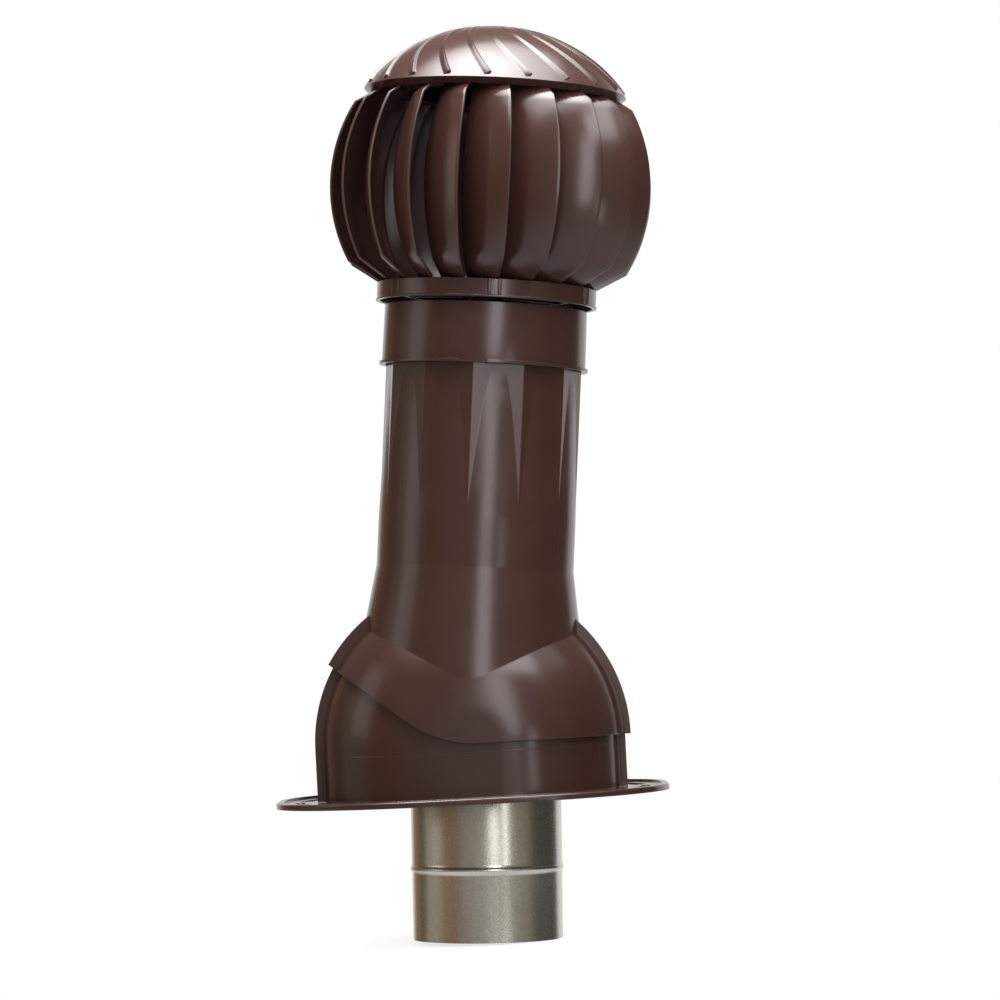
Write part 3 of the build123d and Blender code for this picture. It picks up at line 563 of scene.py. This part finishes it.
# Ground chrome steel: nearly a mirror, with the finest marks of the grinding wheel.
ground_steel = bpy.data.materials.new("ground_bearing_steel")
tree = empty_tree(ground_steel)
place = add(tree, "TexCoord")
marks = add(tree, "TexNoise", {"Vector": place.outputs["Object"], "Scale": 1 / GRIND})
shade = add(tree, "ValToRGB", {"Fac": marks.outputs["Fac"]},
            stops=((0.3, GROUND_DARK), (0.7, GROUND_LIGHT)))
fine = add(tree, "MapRange", {"Value": marks.outputs["Fac"], "To Min": GROUND_ROUGHNESS[0],
                              "To Max": GROUND_ROUGHNESS[1]})
body = add(tree, "BsdfPrincipled", {"Base Color": shade.outputs["Color"], "Metallic": 1.0,
                                    "Roughness": fine.outputs["Result"]})
add(tree, "OutputMaterial", {"Surface": body.outputs["BSDF"]})
dress(ground_steel, "lower_bearing_inner", "upper_bearing_inner", "lower_bearing_outer",
      "upper_bearing_outer")

# ---------------------------------------------------------------- lower ring of the turbine
# The vanes' feet stand on a channel ring of the brown plastic. Six pairs of narrow ribs
# cross its outer band, and a pip of each vane's fixing shows on its top edge.

RING_BOTTOM, RING_TOP = 362.0, 377.0
RING_RADIUS, RING_WALL = 91.39, 3.0
RING_BORE, RING_INNER_DROP = 68.39, 9.0
RING_LIP, RING_LIP_HEIGHT = 0.8, 1.6
RING_EDGE, BLOCK_EDGE = 0.4, 0.3
STRAPS, STRAP_TURN = 6, radians(4.2)
STRAP_RIB, STRAP_PITCH, STRAP_PROUD = 2.7, 8.7, 0.6
VANES = 20
PIP_TURN = radians(-2.4)
PIP_SIZE = (1.6, 1.4, 1.4)

bm = profile((RING_RADIUS - RING_WALL, RING_BOTTOM), (RING_RADIUS + RING_LIP, RING_BOTTOM),
             (RING_RADIUS + RING_LIP, RING_BOTTOM + RING_LIP_HEIGHT),
             (RING_RADIUS, RING_BOTTOM + RING_LIP_HEIGHT), (RING_RADIUS, RING_TOP),
             (RING_BORE, RING_TOP), (RING_BORE, RING_TOP - RING_INNER_DROP),
             (RING_BORE + RING_WALL, RING_TOP - RING_INNER_DROP),
             (RING_BORE + RING_WALL, RING_TOP - RING_WALL),
             (RING_RADIUS - RING_WALL, RING_TOP - RING_WALL), closed=True)
rounded(bm, bm.verts[:], RING_EDGE)
turned(bm)


def block(bm, size, middle, turn):
    """A small block with soft edges, put at a place and turned about the upright axis."""
    place = (Matrix.Rotation(turn, 4, "Z") @ Matrix.Translation([c * mm for c in middle])
             @ Matrix.Diagonal([c * mm for c in size] + [1]))
    made = bmesh.ops.create_cube(bm, size=1.0, matrix=place)["verts"]
    edges = list({edge for vert in made for edge in vert.link_edges})
    bmesh.ops.bevel(bm, geom=edges, offset=BLOCK_EDGE * mm, offset_type="OFFSET", segments=2,
                    profile=0.5, affect="EDGES", material=-1)


rib_low = RING_BOTTOM + RING_LIP_HEIGHT
for count in range(STRAPS):
    for side in (-1, 1):
        aside = asin(side * STRAP_PITCH / 2 / RING_RADIUS)
        turn = FRONT + STRAP_TURN + aside + 2 * pi * count / STRAPS
        block(bm, (2 * STRAP_PROUD, STRAP_RIB, RING_TOP - rib_low),
              (RING_RADIUS, 0, (RING_TOP + rib_low) / 2), turn)
for count in range(VANES):
    block(bm, PIP_SIZE, (RING_RADIUS - PIP_SIZE[0], 0, RING_TOP),
          FRONT + PIP_TURN + 2 * pi * count / VANES)
piece_of("turbine_lower_ring", bm, PIPE_PLACE, brown_plastic, "rotor", "brown_plastic",
         "lower_ring")

# ---------------------------------------------------------------- rotor spider, upper ring
# A black spider ties the lower ring to its bearing, and a flat brown ring inside the cap's
# rim holds the vanes' upper tabs.

dress(black_polyamide, "rotor_spider")
dress(brown_plastic, "upper_ring")

# ---------------------------------------------------------------- twenty curved vanes
# Each vane is a thin brown moulding: a foot bent in to the lower ring, a curved blade with
# its outer edge on the ball, a shoulder under the cap and a tab pushed into the upper ring.

BALL_RADIUS, BALL_CENTRE = 135.06, 459.93
CREASE = radians(29.9)      # where the blade bends in, above and below the ball's middle
VANE_TURN, VANE_SWEEP = radians(6.5), radians(19.3)
VANE_THICK, VANE_EDGE, VANE_SHARP = 2.0, 0.45, radians(50)
VANE_BULGE = 3.5
VANE_DEPTH, FOOT_DEPTH, SHOULDER_DEPTH = 29.0, 18.0, 23.0
FOOT_RADIUS, SHOULDER_RADIUS = 89.99, 105.1
SHOULDER_TOP = 534.26
TAB_HEIGHT, TAB_INSET = 1.8, 6.0
BLADE_LEVELS = 24
ARC_STEPS, ARC_SWEEP = 14, radians(64)


def plan(outer, depth, height):
    """Takes the unit arc to the plan of a vane: its outer edge, how far in it reaches and
    its height, in mm."""
    tip = Vector((outer, 0, height)) * mm
    inner = outer - depth
    root = Vector((inner * cos(VANE_SWEEP), -inner * sin(VANE_SWEEP), height)) * mm
    chord = root - tip
    return (Matrix.Translation(tip) @ Matrix.Rotation(atan2(chord.y, chord.x), 4, "Z")
            @ Matrix.Diagonal((chord.length, VANE_BULGE * mm, 1, 1)))


def unit_arc(bm):
    """An arc from 0 to 1 along X that stands 1 high in the middle."""
    first = bm.verts.new((0, 0, 0))
    half = ARC_SWEEP / 2
    radius = 0.5 / sin(half)
    bmesh.ops.spin(bm, geom=[first], cent=(0.5, -radius * cos(half), 0), axis=(0, 0, 1),
                   angle=-ARC_SWEEP, steps=ARC_STEPS)
    high = radius * (1 - cos(half))
    bmesh.ops.transform(bm, matrix=Matrix.Diagonal((1, 1 / high, 1, 1)), verts=bm.verts)


levels = [(FOOT_RADIUS, FOOT_DEPTH, RING_TOP)]
for step in range(BLADE_LEVELS + 1):
    latitude = CREASE * (2 * step / BLADE_LEVELS - 1)
    levels.append((BALL_RADIUS * cos(latitude), VANE_DEPTH,
                   BALL_CENTRE + BALL_RADIUS * sin(latitude)))
levels.append((SHOULDER_RADIUS, SHOULDER_DEPTH, SHOULDER_TOP))

for number in range(1, VANES + 1):
    bm = bmesh.new()
    unit_arc(bm)
    bmesh.ops.transform(bm, matrix=plan(*levels[0]), verts=bm.verts)
    rim = bm.edges[:]
    for below, above in zip(levels, levels[1:]):
        grown = bmesh.ops.extrude_edge_only(bm, edges=rim)["geom"]
        bmesh.ops.transform(bm, matrix=plan(*above) @ plan(*below).inverted(),
                            verts=verts_in(grown))
        rim = edges_in(grown)
    reach = (SHOULDER_RADIUS - TAB_INSET) * mm
    inside = [edge for edge in rim
              if all(hypot(vert.co.x, vert.co.y) < reach for vert in edge.verts)]
    tab = bmesh.ops.extrude_edge_only(bm, edges=inside)["geom"]
    bmesh.ops.translate(bm, verts=verts_in(tab), vec=(0, 0, TAB_HEIGHT * mm))
    turn = FRONT + VANE_TURN + 2 * pi * (number - 1) / VANES
    place = PIPE_PLACE @ Matrix.Rotation(turn, 4, "Z")
    vane = piece_of(f"turbine_vane_{number:02d}", bm, place, brown_plastic, "rotor",
                    "brown_plastic", f"vane_{number:02d}")
    wall = vane.modifiers.new("wall", "SOLIDIFY")
    wall.thickness = VANE_THICK * mm
    wall.offset = -1.0
    wall.use_even_offset = True
    soft_edges = vane.modifiers.new("soft edges", "BEVEL")
    soft_edges.width = VANE_EDGE * mm
    soft_edges.segments = 2
    soft_edges.limit_method = "ANGLE"
    soft_edges.angle_limit = VANE_SHARP

# ---------------------------------------------------------------- ribbed dome cap
# The cap closes the turbine: a brown dome of the ball's own curve with a slanting lip under
# its rim, twenty wedge ribs that wind up over it, and a boss inside for the bearing's hub.

RIM = radians(35.8)
CAP_WALL = 2.5
CAP_LIP, CAP_LIP_DROP = 6.0, 5.0
DOME_STEPS, CAP_STEPS = 26, 160     # up the dome and round it
BOSS_RADIUS, BOSS_BORE, BOSS_BOTTOM = 30.0, 10.0, 584.49
BOSS_EDGE, BOSS_STEPS = 0.4, 64
BOSS_COVER = 1.0            # of the dome's wall is left over its rim
RIB_TURN = radians(-2.2)
RIB_LOW, RIB_TOP = radians(37.7), radians(78.0)
RIB_TWIST = radians(-30)
RIB_WIDTHS = (7.5, 2.0)     # at its outer and its inner end
RIB_HEIGHTS = (2.1, 0.3)
RIB_CREST = 0.75            # share of its width on the gentle side of its crest
RIB_ROOT = 0.4              # by which its foot is sunk in the dome
RIB_EDGE, RIB_SHARP = 0.2, radians(35)
RIB_LEVELS = 18
RIB_AHEAD = 0.01            # how far ahead it looks, as a share, for the way it runs

rim_radius = BALL_RADIUS * cos(RIM)
rim_height = BALL_CENTRE + BALL_RADIUS * sin(RIM)
bm = profile((rim_radius - CAP_LIP, rim_height - CAP_LIP_DROP), (rim_radius, rim_height))
bm.verts.ensure_lookup_table()
bmesh.ops.spin(bm, geom=[bm.verts[1]], cent=(0, 0, BALL_CENTRE * mm), axis=(0, 1, 0),
               angle=RIM - pi / 2, steps=DOME_STEPS)
turned(bm, CAP_STEPS)
bmesh.ops.solidify(bm, geom=bm.faces, thickness=CAP_WALL * mm)
dome_over_boss = BALL_CENTRE + BALL_RADIUS * cos(asin(BOSS_RADIUS / BALL_RADIUS))
boss = profile((BOSS_BORE, BOSS_BOTTOM), (BOSS_RADIUS, BOSS_BOTTOM),
               (BOSS_RADIUS, dome_over_boss - BOSS_COVER),
               (BOSS_BORE, BALL_CENTRE + BALL_RADIUS - CAP_WALL), closed=True)
rounded(boss, boss.verts[:], BOSS_EDGE)
turned(boss, BOSS_STEPS)


def on_dome(latitude, turn):
    """Point of the dome."""
    level = BALL_RADIUS * cos(latitude)
    return Vector((level * cos(turn), level * sin(turn),
                   BALL_CENTRE + BALL_RADIUS * sin(latitude))) * mm


def rib_place(share):
    """Where a rib's section stands, with its width and height, part of the way up."""
    next_share = share + RIB_AHEAD
    rise = RIB_TOP - RIB_LOW
    spot = on_dome(RIB_LOW + share * rise, share * RIB_TWIST)
    ahead = on_dome(RIB_LOW + next_share * rise, next_share * RIB_TWIST)
    out = (spot - Vector((0, 0, BALL_CENTRE * mm))).normalized()
    along = (ahead - spot).normalized()
    across = along.cross(out).normalized()
    turn = Matrix((across, out, across.cross(out))).transposed().to_4x4()
    width = RIB_WIDTHS[0] + share * (RIB_WIDTHS[1] - RIB_WIDTHS[0])
    height = RIB_HEIGHTS[0] + share * (RIB_HEIGHTS[1] - RIB_HEIGHTS[0])
    return (Matrix.Translation(spot) @ turn
            @ Matrix.Diagonal((width * mm, (height + RIB_ROOT) * mm, 1, 1))
            @ Matrix.Translation((0, -RIB_ROOT / (height + RIB_ROOT), 0)))


rib = bmesh.new()
corners = [rib.verts.new(c) for c in ((-RIB_CREST, 0, 0), (0, 1, 0), (1 - RIB_CREST, 0, 0))]
rim = [rib.edges.new((corners[i - 1], corners[i])) for i in range(3)]
place = rib_place(0)
bmesh.ops.transform(rib, matrix=place, verts=rib.verts)
ends = [list(rim)]
for step in range(1, RIB_LEVELS):
    grown = bmesh.ops.extrude_edge_only(rib, edges=rim)["geom"]
    above = rib_place(step / (RIB_LEVELS - 1))
    bmesh.ops.transform(rib, matrix=above @ place.inverted(), verts=verts_in(grown))
    rim = edges_in(grown)
    place = above
ends.append(rim)
for end in ends:
    bmesh.ops.contextual_create(rib, geom=end)
bmesh.ops.recalc_face_normals(rib, faces=rib.faces)
crest = [edge for edge in rib.edges if edge.calc_face_angle(0) > RIB_SHARP]
bmesh.ops.bevel(rib, geom=crest, offset=RIB_EDGE * mm, offset_type="OFFSET", segments=2,
                profile=0.5, affect="EDGES", material=-1, clamp_overlap=True)
bmesh.ops.rotate(rib, verts=rib.verts, cent=(0, 0, 0),
                 matrix=Matrix.Rotation(FRONT + RIB_TURN, 3, "Z"))
bmesh.ops.spin(rib, geom=whole(rib), cent=(0, 0, 0), axis=(0, 0, 1),
               angle=2 * pi * (VANES - 1) / VANES, steps=VANES - 1, use_duplicate=True)
join(bm, boss)
join(bm, rib)
piece_of("ribbed_dome_cap", bm, PIPE_PLACE, brown_plastic, "rotor", "brown_plastic",
         "dome_cap")

# ---------------------------------------------------------------- hub of the upper bearing
# Under the boss, three screws hold a black flanged housing round the upper bearing.

dress(black_polyamide, "cap_hub")
